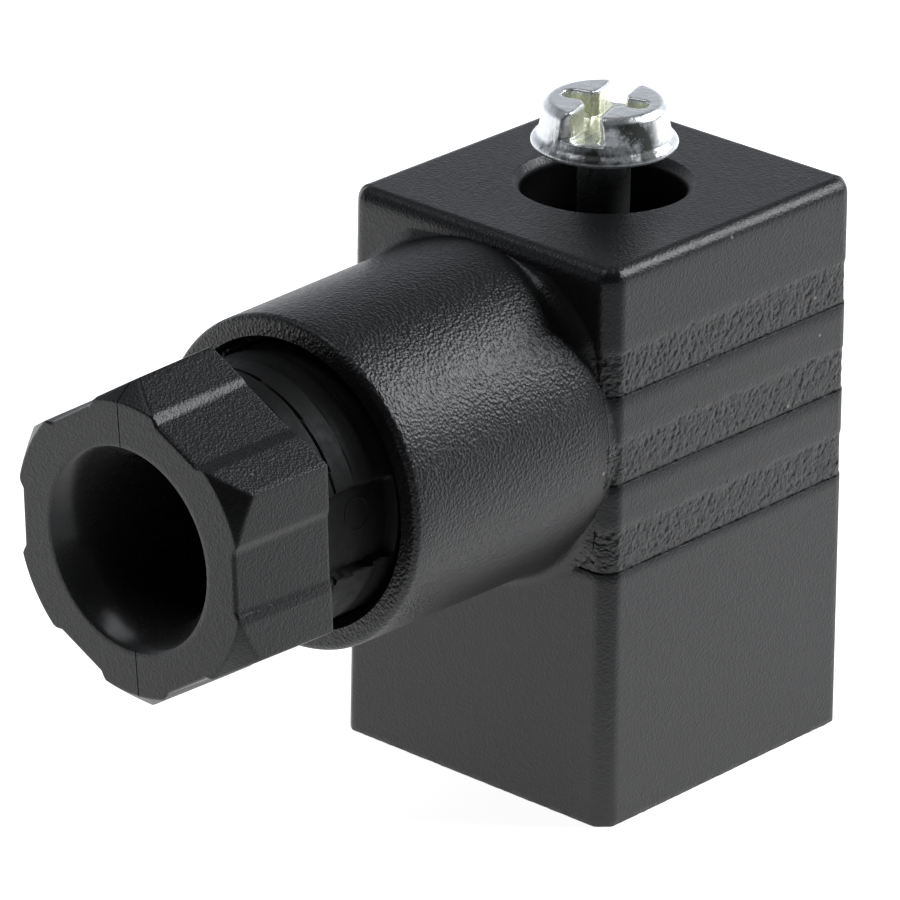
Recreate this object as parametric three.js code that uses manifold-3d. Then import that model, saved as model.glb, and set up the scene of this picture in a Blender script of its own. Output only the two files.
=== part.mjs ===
// Angled cable plug of a solenoid valve, in millimetres, +Z up.
// The origin is on the axis of the fixing screw, in the plane of the rim that sits on the valve.
// The cable barrel points along -Y, so the plug is its own mirror image about the plane x = 0.
import * as THREE from "three";
import { mergeVertices } from "three/addons/utils/BufferGeometryUtils.js";
import Module from "manifold-3d";

const wasm = await Module();
wasm.setup();

// Clearances
const GAP = 0.3; // between pieces that touch or run in each other
const PAST = 1; // how far a cutter reaches past the face it opens

// Housing
const BODY_H = 26.65;
const BODY_WIDTH_TOP = 15.6; // along X
const BODY_WIDTH_BOTTOM = 16.0; // the sides flare downwards, so that the mould releases
const BODY_DEPTH = 16.6; // along Y
const BODY_CORNER_R = 0.6;
const TOP_EDGE_R = 0.4;
const CAVITY_WIDTH = 13.0;
const CAVITY_DEPTH = 14.0;
const CEILING_Z = 25.3;
const BAND_PITCH = 4.2;
const BAND_HEIGHT = 2.1;
const LOWEST_BAND_Z = 12.3;
const BAND_COUNT = 3;
const BAND_RECESS = 0.12;

// Recess of the fixing screw in the top face
const HEAD_RECESS_R = 3.72;
const HEAD_LEDGE_Z = 22.9;
const BOSS_R = 4.65;
const BOSS_BOTTOM_Z = 21.6;
const SCREW_HOLE_R = 1.8;

// Cable barrel
const BARREL_Z = 18.3;
const BARREL_END_Y = -20.5;
const BARREL_R_MOUTH = 7.62;
const BARREL_R_ROOT = 7.78;
const BARREL_BORE_R = 6.45;
const SHOULDER_Y = -8.8; // the seal rests against this shoulder
const WIRE_HOLE_R = 4.6;

// Gland: nut, thrust ring and cable seal
const NUT_FACE_Y = -30.35;
const NUT_BACK_Y = -24.8;
const NUT_ACROSS_FLATS_FRONT = 12.95;
const NUT_ACROSS_FLATS_BACK = 13.2;
const NUT_CHAMFER_R = 6.65; // where the turned chamfer meets the face
const NUT_CHAMFER_SLOPE = 1.28; // length of the chamfer for each unit of radius
const NUT_CORNER_DEG = 93; // the corners' turn about the barrel, from +X towards +Z
const NUT_PANEL_HALF = 1.74; // half width of the sunk panel on each flat
const NUT_PANEL_DEPTH = 0.14;
const NUT_SHANK_R = 6.12;
const NUT_END_Y = -17.6;
const NUT_MOUTH_R = 4.62;
const NUT_BORE_R = 3.7;
const NUT_MOUTH_DEPTH = 3.2;
const RING_R = 5.9;
const RING_BORE_R = 3.6;
const RING_THICK = 0.9;
const SEAL_R = 6.1;
const SEAL_BORE_R = 3.2;
const SEAL_LENGTH = 3.8;
const SEAL_LIP = 0.5;

// Fixing screw, M3, shown pushed up by the surface that the plug stands on
const SCREW_TIP_Z = 0.15;
const THREAD_R = 1.47;
const THREAD_TOP_Z = 8.2;
const SHANK_R = 1.2;
const FLANGE_Z = 28.4;
const FLANGE_R = 3.35;
const FLANGE_RIM = 0.3;
const HEAD_R = 2.86;
const HEAD_BASE_Z = 29.05;
const HEAD_TOP_Z = 30.55;
const HEAD_EDGE = 0.35;
const DRIVE_SLOT = 1.25; // the slot that runs right across the head
const DRIVE_WING = 1.0; // the cross recess's other two wings, which stop short of the rim
const DRIVE_WING_R = 1.9;
const DRIVE_DEPTH = 1.05;
const DRIVE_TURN_DEG = 19;

// Contact carrier
const CARRIER_BOTTOM_Z = 2.2;
const CARRIER_TOP_Z = 8.3;
const CARRIER_TUBE_R = 2.4;
const CARRIER_TUBE_TOP_Z = 12.4;
const CARRIER_CORNER_R = 1.0;
const RIB_X = 2.05;
const RIB_THICK = 0.6;
const RIB_TOP_Z = 11.6;

// Contacts, four round the screw, each with its own screw terminal
const CONTACT_RADIUS = 4.0; // half of the 8 mm spacing between opposite blades
const CONTACT_WIDTH = 2.8;
const LEAF_THICK = 0.4;
const LEAF_GAP = 0.5;
const LEAF_BOTTOM_Z = 2.7;
const TAB_Z = CARRIER_TOP_Z + GAP;
const TAB_THICK = 0.8;
const TAB_END = 6.1;
const TERMINAL_X = 4.35;
const TERMINAL_Y = 4.1;
const CLAMP_SIZE = 3.2;
const CLAMP_THICK = 0.7;
const CLAMP_LIP = 0.25;
const TERMINAL_SHANK_R = 1.2;
const TERMINAL_HEAD_R = 1.75;
const TERMINAL_HEAD_H = 1.4;
const TERMINAL_TIP_Z = 5.0;
const TERMINAL_SLOT = 0.5;

// Flat gasket between the plug and the valve
const GASKET_BOTTOM_Z = 0.9;
const GASKET_THICK = 1.0;

const material = (color, roughness, metalness = 0) =>
  new THREE.MeshStandardMaterial({ color, roughness, metalness });
const looks = {
  housing: material(0x1c1c1e, 0.55),
  nut: material(0x161617, 0.5),
  carrier: material(0x202022, 0.6),
  rubber: material(0x2a2a2a, 0.85),
  nylon: material(0xd8d4c8, 0.5),
  zinc: material(0xc4c8cc, 0.3, 1),
  tin: material(0xb9bcc0, 0.35, 1),
};

// A closed geometry becomes a solid that can be joined and cut.
function solid(geometry) {
  const bare = geometry.index ? geometry.toNonIndexed() : geometry.clone();
  bare.deleteAttribute("normal");
  bare.deleteAttribute("uv");
  const merged = mergeVertices(bare, 1e-4);
  return new wasm.Manifold(
    new wasm.Mesh({
      numProp: 3,
      vertProperties: merged.attributes.position.array,
      triVerts: new Uint32Array(merged.index.array),
    }),
  );
}

// The solid goes back to a flat-shaded geometry.
function geometryOf(body) {
  const mesh = body.getMesh();
  const indexed = new THREE.BufferGeometry();
  indexed.setAttribute("position", new THREE.BufferAttribute(mesh.vertProperties, 3));
  indexed.setIndex(new THREE.BufferAttribute(mesh.triVerts, 1));
  const geometry = indexed.toNonIndexed();
  geometry.computeVertexNormals();
  return geometry;
}

function piece(name, body, look) {
  const mesh = new THREE.Mesh(geometryOf(body), look);
  mesh.name = name;
  return mesh;
}

const joined = (...bodies) => bodies.reduce((sum, body) => sum.add(body));
const cut = (body, ...cutters) => cutters.reduce((rest, cutter) => rest.subtract(cutter), body);

function box(x0, x1, y0, y1, z0, z1) {
  const geometry = new THREE.BoxGeometry(x1 - x0, y1 - y0, z1 - z0);
  return solid(geometry.translate((x0 + x1) / 2, (y0 + y1) / 2, (z0 + z1) / 2));
}

// Turned about the Z axis: profile points are [radius, z], from the axis round to the axis.
function turned(profile, segments = 48) {
  const points = profile.map(([radius, z]) => new THREE.Vector2(radius, z));
  const lathe = new THREE.LatheGeometry(points, segments);
  return solid(lathe.rotateX(Math.PI / 2));
}

const rod = (radius, z0, z1, segments = 48) =>
  turned([[0, z0], [radius, z0], [radius, z1], [0, z1]], segments);

// A body turned about Z is laid along the barrel's axis, its z running along +Y.
const alongBarrel = (body) => body.rotate([-90, 0, 0]).translate([0, 0, BARREL_Z]);

function roundedRectangle(width, depth, radius) {
  const x = width / 2 - radius;
  const y = depth / 2 - radius;
  const shape = new THREE.Shape();
  shape.absarc(x, y, radius, 0, Math.PI / 2);
  shape.absarc(-x, y, radius, Math.PI / 2, Math.PI);
  shape.absarc(-x, -y, radius, Math.PI, Math.PI * 1.5);
  shape.absarc(x, -y, radius, Math.PI * 1.5, Math.PI * 2);
  return shape;
}

// A rounded block between two heights, whose top and bottom edges may be rounded too.
function block(width, depth, radius, z0, z1, edge = 0) {
  const inner = roundedRectangle(width - 2 * edge, depth - 2 * edge, Math.max(radius - edge, 0.05));
  const geometry = new THREE.ExtrudeGeometry(inner, {
    depth: z1 - z0 - 2 * edge,
    bevelEnabled: edge > 0,
    bevelSize: edge,
    bevelThickness: edge,
    bevelSegments: 4,
    curveSegments: 5,
  });
  return solid(geometry.translate(0, 0, z0 + edge));
}

// Leans the two sides outwards, from the top width to the bottom width.
function flared(body) {
  const geometry = geometryOf(body);
  const position = geometry.attributes.position;
  const ratio = BODY_WIDTH_BOTTOM / BODY_WIDTH_TOP - 1;
  for (let i = 0; i < position.count; i += 1) {
    const down = 1 - position.getZ(i) / BODY_H;
    position.setX(i, position.getX(i) * (1 + ratio * down));
  }
  return solid(geometry);
}

function bandCutter(z0) {
  const z1 = z0 + BAND_HEIGHT;
  const outside = BODY_WIDTH_BOTTOM + 2 * PAST;
  const inside = block(
    BODY_WIDTH_TOP - 2 * BAND_RECESS,
    BODY_DEPTH - 2 * BAND_RECESS,
    BODY_CORNER_R,
    z0 - PAST,
    z1 + PAST,
  );
  return block(outside, outside, BODY_CORNER_R, z0, z1).subtract(inside);
}

function housing() {
  const raw = block(BODY_WIDTH_TOP, BODY_DEPTH, BODY_CORNER_R, -PAST, BODY_H, TOP_EDGE_R);
  const foot = box(-BODY_DEPTH, BODY_DEPTH, -BODY_DEPTH, BODY_DEPTH, -2 * PAST, 0);
  let body = raw.subtract(foot);
  for (let i = 0; i < BAND_COUNT; i += 1) {
    body = body.subtract(bandCutter(LOWEST_BAND_Z + i * BAND_PITCH));
  }
  const wallY = -BODY_DEPTH / 2;
  const barrel = alongBarrel(
    turned([
      [0, BARREL_END_Y],
      [BARREL_R_MOUTH - 0.25, BARREL_END_Y],
      [BARREL_R_MOUTH, BARREL_END_Y + 0.25],
      [BARREL_R_ROOT, wallY + PAST],
      [0, wallY + PAST],
    ], 72),
  );
  const cavity = block(CAVITY_WIDTH, CAVITY_DEPTH, 0.8, -PAST, CEILING_Z);
  const boss = rod(BOSS_R, BOSS_BOTTOM_Z, CEILING_Z + GAP);
  const bore = alongBarrel(
    turned([
      [0, BARREL_END_Y - PAST],
      [BARREL_BORE_R, BARREL_END_Y - PAST],
      [BARREL_BORE_R, SHOULDER_Y],
      [WIRE_HOLE_R, SHOULDER_Y],
      [WIRE_HOLE_R, wallY + 2 * PAST],
      [0, wallY + 2 * PAST],
    ], 72),
  );
  const recess = turned([
    [0, BOSS_BOTTOM_Z - PAST],
    [SCREW_HOLE_R, BOSS_BOTTOM_Z - PAST],
    [SCREW_HOLE_R, HEAD_LEDGE_Z],
    [HEAD_RECESS_R, HEAD_LEDGE_Z],
    [HEAD_RECESS_R, BODY_H - TOP_EDGE_R],
    [HEAD_RECESS_R + TOP_EDGE_R, BODY_H],
    [HEAD_RECESS_R + TOP_EDGE_R, BODY_H + PAST],
    [0, BODY_H + PAST],
  ]);
  const shell = flared(body).add(barrel).subtract(cavity).add(boss);
  return cut(shell, bore, recess);
}

// The hexagonal outline of the nut, tapered from front to back.
function nutHexagon() {
  const points = [];
  for (let i = 0; i < 6; i += 1) {
    const angle = THREE.MathUtils.degToRad(NUT_CORNER_DEG + 60 * i);
    points.push(new THREE.Vector2(Math.cos(angle), Math.sin(angle)));
  }
  const length = NUT_BACK_Y - NUT_FACE_Y;
  const prism = new THREE.ExtrudeGeometry(new THREE.Shape(points), {
    depth: length,
    bevelEnabled: false,
  });
  const position = prism.attributes.position;
  const cornerOf = (acrossFlats) => acrossFlats / Math.sqrt(3);
  for (let i = 0; i < position.count; i += 1) {
    const back = position.getZ(i) / length;
    const corner = THREE.MathUtils.lerp(
      cornerOf(NUT_ACROSS_FLATS_FRONT),
      cornerOf(NUT_ACROSS_FLATS_BACK),
      back,
    );
    position.setX(i, position.getX(i) * corner);
    position.setY(i, position.getY(i) * corner);
  }
  // The outline is drawn in X and Y; it stands across the barrel once its Z turns to +Y.
  return solid(prism).rotate([90, 0, 0]).mirror([0, 1, 0]).translate([0, NUT_FACE_Y, BARREL_Z]);
}

// The wedge that sinks the middle of one flat, deepest at the front face.
function panelCutter(index) {
  const flat = NUT_ACROSS_FLATS_FRONT / 2 - NUT_PANEL_DEPTH;
  const outline = new THREE.Shape([
    new THREE.Vector2(-NUT_PANEL_HALF + NUT_PANEL_DEPTH, flat),
    new THREE.Vector2(NUT_PANEL_HALF - NUT_PANEL_DEPTH, flat),
    new THREE.Vector2(NUT_PANEL_HALF + PAST, flat + PAST + NUT_PANEL_DEPTH),
    new THREE.Vector2(-NUT_PANEL_HALF - PAST, flat + PAST + NUT_PANEL_DEPTH),
  ]);
  const wedge = new THREE.ExtrudeGeometry(outline, { depth: 20, bevelEnabled: false });
  const lean = (NUT_ACROSS_FLATS_BACK - NUT_ACROSS_FLATS_FRONT) / 2 / (NUT_BACK_Y - NUT_FACE_Y);
  const position = wedge.attributes.position;
  for (let i = 0; i < position.count; i += 1) {
    const out = position.getY(i) + lean * (position.getZ(i) - PAST);
    position.setY(i, out);
  }
  return solid(wedge)
    .rotate([90, 0, 0])
    .mirror([0, 1, 0])
    .rotate([0, 60 * index - NUT_CORNER_DEG, 0])
    .translate([0, NUT_FACE_Y - PAST, BARREL_Z]);
}

function glandNut() {
  const chamferEnd = NUT_CHAMFER_R + 3;
  const chamfer = alongBarrel(
    turned([
      [0, NUT_FACE_Y],
      [NUT_CHAMFER_R, NUT_FACE_Y],
      [chamferEnd, NUT_FACE_Y + 3 * NUT_CHAMFER_SLOPE],
      [chamferEnd, NUT_BACK_Y],
      [0, NUT_BACK_Y],
    ], 72),
  );
  let head = nutHexagon().intersect(chamfer);
  for (let i = 0; i < 6; i += 1) {
    head = head.subtract(panelCutter(i));
  }
  const shank = alongBarrel(rod(NUT_SHANK_R, NUT_BACK_Y - PAST, NUT_END_Y, 72));
  const mouth = [];
  for (let i = 0; i <= 6; i += 1) {
    const turn = (i / 6) * (Math.PI / 2);
    mouth.push([
      NUT_MOUTH_R - (NUT_MOUTH_R - NUT_BORE_R) * Math.sin(turn),
      NUT_FACE_Y + NUT_MOUTH_DEPTH * (1 - Math.cos(turn)),
    ]);
  }
  const bore = alongBarrel(
    turned([
      [0, NUT_FACE_Y - PAST],
      [NUT_MOUTH_R, NUT_FACE_Y - PAST],
      ...mouth,
      [NUT_BORE_R, NUT_END_Y + PAST],
      [0, NUT_END_Y + PAST],
    ], 72),
  );
  return head.add(shank).subtract(bore);
}

function ring(outer, inner, z0, z1) {
  return rod(outer, z0, z1).subtract(rod(inner, z0 - PAST, z1 + PAST));
}

function thrustRing() {
  const start = NUT_END_Y + GAP;
  return alongBarrel(ring(RING_R, RING_BORE_R, start, start + RING_THICK));
}

// The seal is a short rubber sleeve with a lip turned at each end of its bore.
function cableSeal() {
  const back = SHOULDER_Y - GAP;
  const front = back - SEAL_LENGTH;
  return alongBarrel(
    turned([
      [SEAL_BORE_R + SEAL_LIP, front],
      [SEAL_R, front],
      [SEAL_R, back],
      [SEAL_BORE_R + SEAL_LIP, back],
      [SEAL_BORE_R, back - SEAL_LIP],
      [SEAL_BORE_R, front + SEAL_LIP],
      [SEAL_BORE_R + SEAL_LIP, front],
    ]),
  );
}

// A straight slot cut into a screw head from above.
const driveSlot = (width, reach, z0, z1, turnDegrees) =>
  box(-reach, reach, -width / 2, width / 2, z0, z1).rotate([0, 0, turnDegrees]);

function fixingScrew() {
  const body = turned([
    [0, SCREW_TIP_Z],
    [THREAD_R - 0.5, SCREW_TIP_Z],
    [THREAD_R, SCREW_TIP_Z + 0.5],
    [THREAD_R, THREAD_TOP_Z - 0.3],
    [SHANK_R, THREAD_TOP_Z],
    [SHANK_R, FLANGE_Z],
    [FLANGE_R, FLANGE_Z],
    [FLANGE_R, FLANGE_Z + FLANGE_RIM],
    [HEAD_R, HEAD_BASE_Z],
    [HEAD_R, HEAD_TOP_Z - HEAD_EDGE],
    [HEAD_R - HEAD_EDGE, HEAD_TOP_Z],
    [0, HEAD_TOP_Z],
  ]);
  const floor = HEAD_TOP_Z - DRIVE_DEPTH;
  const above = HEAD_TOP_Z + PAST;
  return cut(
    body,
    driveSlot(DRIVE_SLOT, HEAD_R + PAST, floor, above, DRIVE_TURN_DEG + 90),
    driveSlot(DRIVE_WING, DRIVE_WING_R, floor, above, DRIVE_TURN_DEG),
  );
}

// The ring is clipped round the thin shank and stops against the boss when the screw is pulled up.
function captiveRing() {
  const top = BOSS_BOTTOM_Z - 2 * GAP;
  return ring(SHANK_R + GAP + 0.7, SHANK_R + GAP, top - 1, top);
}

// A rubber ring of round section on the ledge, under the screw head.
function screwSealRing() {
  const tube = 0.5;
  const centreR = SCREW_HOLE_R + tube + 0.05;
  const torus = new THREE.TorusGeometry(centreR, tube, 10, 40);
  return solid(torus.translate(0, 0, HEAD_LEDGE_Z + GAP + tube));
}

// The rectangular slot that one valve blade goes through, at contact number index.
function bladeSlot(radial, tangential, z0, z1, index) {
  const x = CONTACT_RADIUS;
  return box(x - radial / 2, x + radial / 2, -tangential / 2, tangential / 2, z0, z1)
    .rotate([0, 0, 90 * index]);
}

function contactCarrier() {
  const width = CAVITY_WIDTH - 2 * GAP;
  const depth = CAVITY_DEPTH - 2 * GAP;
  const body = block(width, depth, CARRIER_CORNER_R, CARRIER_BOTTOM_Z, CARRIER_TOP_Z);
  const tube = rod(CARRIER_TUBE_R, CARRIER_BOTTOM_Z, CARRIER_TUBE_TOP_Z);
  const parts = [body, tube];
  const cutters = [rod(SCREW_HOLE_R, -PAST, CARRIER_TUBE_TOP_Z + PAST)];
  const pocketRadial = 2 * LEAF_THICK + LEAF_GAP + 2 * GAP;
  const floor = LEAF_BOTTOM_Z - GAP;
  for (let i = 0; i < 4; i += 1) {
    const rib = box(
      RIB_X - RIB_THICK / 2,
      RIB_X + RIB_THICK / 2,
      CARRIER_TUBE_R,
      width / 2 - GAP,
      CARRIER_TOP_Z - GAP,
      RIB_TOP_Z,
    );
    parts.push(rib.rotate([0, 0, 90 * i]));
    cutters.push(
      bladeSlot(pocketRadial, CONTACT_WIDTH + 2 * GAP, floor, CARRIER_TOP_Z + PAST, i),
      bladeSlot(LEAF_GAP + GAP, CONTACT_WIDTH + GAP, CARRIER_BOTTOM_Z - PAST, floor + PAST, i),
      rod(TERMINAL_SHANK_R + GAP, TERMINAL_TIP_Z - GAP, CARRIER_TOP_Z + PAST, 24)
        .translate([TERMINAL_X, TERMINAL_Y, 0])
        .rotate([0, 0, 90 * i]),
    );
  }
  return cut(joined(...parts), ...cutters);
}

// Two spring leaves hang from a tab; they flare at the foot so that the blade finds its way in.
function contact() {
  const half = LEAF_GAP / 2;
  const outer = half + LEAF_THICK;
  const flare = 0.15;
  const neck = LEAF_BOTTOM_Z + 0.7;
  const top = TAB_Z + TAB_THICK;
  const profile = new THREE.Shape([
    new THREE.Vector2(-outer, neck),
    new THREE.Vector2(-outer - flare, LEAF_BOTTOM_Z),
    new THREE.Vector2(-half - flare, LEAF_BOTTOM_Z),
    new THREE.Vector2(-half, neck),
    new THREE.Vector2(-half, TAB_Z),
    new THREE.Vector2(half, TAB_Z),
    new THREE.Vector2(half, neck),
    new THREE.Vector2(half + flare, LEAF_BOTTOM_Z),
    new THREE.Vector2(outer + flare, LEAF_BOTTOM_Z),
    new THREE.Vector2(outer, neck),
    new THREE.Vector2(outer, top),
    new THREE.Vector2(-outer, top),
  ]);
  const leaves = new THREE.ExtrudeGeometry(profile, { depth: CONTACT_WIDTH, bevelEnabled: false });
  const socket = solid(leaves)
    .rotate([90, 0, 0])
    .translate([CONTACT_RADIUS, CONTACT_WIDTH / 2, 0]);
  const inner = CARRIER_TUBE_R + GAP;
  const tab = box(inner, TAB_END, -CONTACT_WIDTH / 2, TAB_END, TAB_Z, top);
  const hole = rod(TERMINAL_SHANK_R + GAP, TAB_Z - PAST, top + PAST, 24);
  return socket.add(tab).subtract(hole.translate([TERMINAL_X, TERMINAL_Y, 0]));
}

// A square washer with two lips turned down, which bites on the wire.
function wireClamp() {
  const z0 = TAB_Z + TAB_THICK + GAP + CLAMP_LIP;
  const half = CLAMP_SIZE / 2;
  const plate = box(-half, half, -half, half, z0, z0 + CLAMP_THICK);
  const lip = box(-half, half, -half, -half + CLAMP_THICK / 2, z0 - CLAMP_LIP, z0 + CLAMP_LIP);
  const hole = rod(TERMINAL_SHANK_R + GAP, z0 - PAST, z0 + CLAMP_THICK + PAST, 24);
  return joined(plate, lip, lip.mirror([0, 1, 0]))
    .subtract(hole)
    .translate([TERMINAL_X, TERMINAL_Y, 0]);
}

function terminalScrew() {
  const head = TAB_Z + TAB_THICK + GAP + CLAMP_LIP + CLAMP_THICK + GAP;
  const top = head + TERMINAL_HEAD_H;
  const body = turned([
    [0, TERMINAL_TIP_Z],
    [TERMINAL_SHANK_R - 0.3, TERMINAL_TIP_Z],
    [TERMINAL_SHANK_R, TERMINAL_TIP_Z + 0.3],
    [TERMINAL_SHANK_R, head],
    [TERMINAL_HEAD_R, head],
    [TERMINAL_HEAD_R, top - 0.3],
    [TERMINAL_HEAD_R - 0.3, top],
    [0, top],
  ], 24);
  const slot = driveSlot(TERMINAL_SLOT, TERMINAL_HEAD_R + PAST, top - 0.7, top + PAST, 30);
  return body.subtract(slot).translate([TERMINAL_X, TERMINAL_Y, 0]);
}

function gasket() {
  const top = GASKET_BOTTOM_Z + GASKET_THICK;
  const width = CAVITY_WIDTH - 2 * GAP;
  const depth = CAVITY_DEPTH - 2 * GAP;
  let sheet = block(width, depth, CARRIER_CORNER_R, GASKET_BOTTOM_Z, top);
  sheet = sheet.subtract(rod(SCREW_HOLE_R + 0.2, GASKET_BOTTOM_Z - PAST, top + PAST));
  for (let i = 0; i < 4; i += 1) {
    sheet = sheet.subtract(
      bladeSlot(1.2, CONTACT_WIDTH + 2 * GAP, GASKET_BOTTOM_Z - PAST, top + PAST, i),
    );
  }
  return sheet;
}

const plug = new THREE.Group();
plug.add(
  piece("housing", housing(), looks.housing),
  piece("gland_nut", glandNut(), looks.nut),
  piece("thrust_ring", thrustRing(), looks.nylon),
  piece("cable_seal", cableSeal(), looks.rubber),
  piece("fixing_screw", fixingScrew(), looks.zinc),
  piece("captive_ring", captiveRing(), looks.nylon),
  piece("screw_seal_ring", screwSealRing(), looks.rubber),
  piece("contact_carrier", contactCarrier(), looks.carrier),
  piece("valve_gasket", gasket(), looks.rubber),
);

// The earth contact is the one under the cable barrel; the others follow round the screw.
["2", "3", "1", "earth"].forEach((label, index) => {
  const seat = new THREE.Group();
  seat.rotation.z = (index * Math.PI) / 2;
  seat.add(
    piece(`contact_${label}`, contact(), looks.tin),
    piece(`wire_clamp_${label}`, wireClamp(), looks.tin),
    piece(`terminal_screw_${label}`, terminalScrew(), looks.zinc),
  );
  plug.add(seat);
});

export default plug;
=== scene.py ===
"""Looks of the angled cable plug of a solenoid valve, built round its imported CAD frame.

The origin is on the axis of the fixing screw, in the plane of the rim that sits on the valve.
+Z is up and the cable barrel points along -Y. Shapes are worked out in millimetres.
"""
import math

import bmesh
import bpy
from mathutils import Matrix, Vector
from mathutils import noise as fields


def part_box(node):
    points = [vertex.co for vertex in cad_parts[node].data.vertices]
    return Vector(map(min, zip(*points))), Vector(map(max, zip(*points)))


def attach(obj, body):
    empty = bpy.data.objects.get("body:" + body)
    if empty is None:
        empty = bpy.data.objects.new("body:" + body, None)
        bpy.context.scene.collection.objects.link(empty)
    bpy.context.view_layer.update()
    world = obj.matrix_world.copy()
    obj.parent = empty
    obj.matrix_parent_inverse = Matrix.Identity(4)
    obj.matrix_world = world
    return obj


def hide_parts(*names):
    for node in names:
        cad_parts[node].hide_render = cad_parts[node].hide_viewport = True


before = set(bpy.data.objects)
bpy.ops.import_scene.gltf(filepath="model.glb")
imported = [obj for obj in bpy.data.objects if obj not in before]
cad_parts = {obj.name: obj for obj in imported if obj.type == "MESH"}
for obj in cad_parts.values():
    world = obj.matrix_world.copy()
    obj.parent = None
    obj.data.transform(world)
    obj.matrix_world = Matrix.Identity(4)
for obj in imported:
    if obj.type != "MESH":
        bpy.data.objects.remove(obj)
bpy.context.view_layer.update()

MM = 0.001

# Camera: the photograph's viewing angle, in degrees and millimetres
VIEW_AZIMUTH = 41.933
VIEW_ELEVATION = 23.148
VIEW_ROLL = 0.781
VIEW_DISTANCE = 363.296
VIEW_TARGET = (-8.989, 0.0, 10.904)
VIEW_LENS = 315.372
SENSOR = 36.0

# Floor, in millimetres, and its glow, which fades from behind the object towards the room
FLOOR_SIDE = 3000
FLOOR_Z = -0.02
FLOOR_GLOW = 0.93
FLOOR_GLOW_FAR = 0.02
GLOW_FADES_ALONG = (0.8, -0.6, 0)
GLOW_FADES_FROM = 15
GLOW_FADES_TO = 46

# Light: the sky's and the soft boxes' colours, and the direction of the pale wall
SKY_COLOUR = (0.89, 0.925, 1, 1)
LAMP_COLOUR = (0.94, 0.965, 1)
PALE_WALL = (-0.82, 0.572, 0)


# ---------------------------------------------------------------- mesh helpers

def made(name, points, faces):
    """A mesh object from points in millimetres, with its normals outwards."""
    mesh = bpy.data.meshes.new(name)
    mesh.from_pydata([(x * MM, y * MM, z * MM) for x, y, z in points], [], faces)
    obj = bpy.data.objects.new(name, mesh)
    bpy.context.scene.collection.objects.link(obj)
    grid = bmesh.new()
    grid.from_mesh(mesh)
    bmesh.ops.remove_doubles(grid, verts=grid.verts, dist=1e-7)
    bmesh.ops.recalc_face_normals(grid, faces=grid.faces)
    grid.to_mesh(mesh)
    grid.free()
    return obj


def applied(obj):
    """Turns an object's modifiers into its mesh."""
    bpy.context.view_layer.update()
    graph = bpy.context.evaluated_depsgraph_get()
    mesh = bpy.data.meshes.new_from_object(obj.evaluated_get(graph), depsgraph=graph)
    old = obj.data
    obj.modifiers.clear()
    obj.data = mesh
    mesh.name = obj.name
    bpy.data.meshes.remove(old)


def combined(obj, other, operation):
    """Joins or cuts an object with another, which is used up."""
    step = obj.modifiers.new("combine", "BOOLEAN")
    step.operation = operation
    step.object = other
    step.solver = "MANIFOLD"
    applied(obj)
    bpy.data.objects.remove(other)


def added(obj, other):
    """Joins another object to this one."""
    combined(obj, other, "UNION")


def cut(obj, *cutters):
    """Takes the cutters away from an object."""
    for cutter in cutters:
        combined(obj, cutter, "DIFFERENCE")


def bevelled(obj, width):
    """Rounds the edges sharper than 35 degrees, by a width in millimetres."""
    step = obj.modifiers.new("bevel", "BEVEL")
    step.width = width * MM
    step.segments = 2
    step.limit_method = "ANGLE"
    step.angle_limit = math.radians(35)
    step.use_clamp_overlap = True
    applied(obj)


def shaded(obj, angle=38):
    """Smooth shading that keeps flat faces flat, with edges sharper than the angle left sharp."""
    obj.data.shade_smooth()
    obj.data.set_sharp_from_angle(angle=math.radians(angle))
    step = obj.modifiers.new("normals", "WEIGHTED_NORMAL")
    step.keep_sharp = True
    step.weight = 60
    applied(obj)


def remeshed(obj, voxel, rounds):
    """One even skin over joined solids, softened so that its edges are rounded."""
    step = obj.modifiers.new("remesh", "REMESH")
    step.mode = "VOXEL"
    step.voxel_size = voxel * MM
    soft = obj.modifiers.new("soft", "SMOOTH")
    soft.factor = 0.5
    soft.iterations = rounds
    applied(obj)


def rounded(corners, closed=True, steps=4):
    """A profile from corners (a, b, radius), each turned into an arc."""
    out = []
    count = len(corners)
    for i, (a, b, radius) in enumerate(corners):
        if radius <= 0 or (not closed and i in (0, count - 1)):
            out.append((a, b))
            continue
        here = Vector((a, b))
        back = Vector(corners[i - 1][:2]) - here
        ahead = Vector(corners[(i + 1) % count][:2]) - here
        half = back.angle(ahead) / 2
        reach = min(radius / math.tan(half), 0.49 * back.length, 0.49 * ahead.length)
        back.normalize()
        ahead.normalize()
        centre = here + (back + ahead).normalized() * reach / math.cos(half)
        first = here + back * reach - centre
        last = here + ahead * reach - centre
        start = math.atan2(first.y, first.x)
        turn = math.atan2(last.y, last.x) - start
        turn = (turn + math.pi) % (2 * math.pi) - math.pi
        for k in range(steps + 1):
            angle = start + turn * k / steps
            size = first.length
            out.append((centre.x + size * math.cos(angle), centre.y + size * math.sin(angle)))
    return out


def bridged(low, high):
    """Faces between two closed loops of as many points."""
    faces = []
    for i in range(len(low)):
        j = (i + 1) % len(low)
        faces.append([low[i], low[j], high[j], high[i]])
    return faces


def lofted(name, loops, closed=False):
    """A skin over loops of points. The first and last loop are capped, or joined if closed."""
    points = []
    marks = []
    for loop in loops:
        marks.append(list(range(len(points), len(points) + len(loop))))
        points.extend(loop)
    faces = []
    for low, high in zip(marks, marks[1:]):
        faces.extend(bridged(low, high))
    if closed:
        faces.extend(bridged(marks[-1], marks[0]))
    else:
        faces.append(list(reversed(marks[0])))
        faces.append(marks[-1])
    return made(name, points, faces)


def angles(count):
    """That many even steps round a circle, from 0."""
    return [2 * math.pi * i / count for i in range(count)]


def ring_points(radius, z, count):
    """A circle of points about Z."""
    turn = 2 * math.pi / count
    return [(radius * math.cos(turn * i), radius * math.sin(turn * i), z) for i in range(count)]


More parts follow.
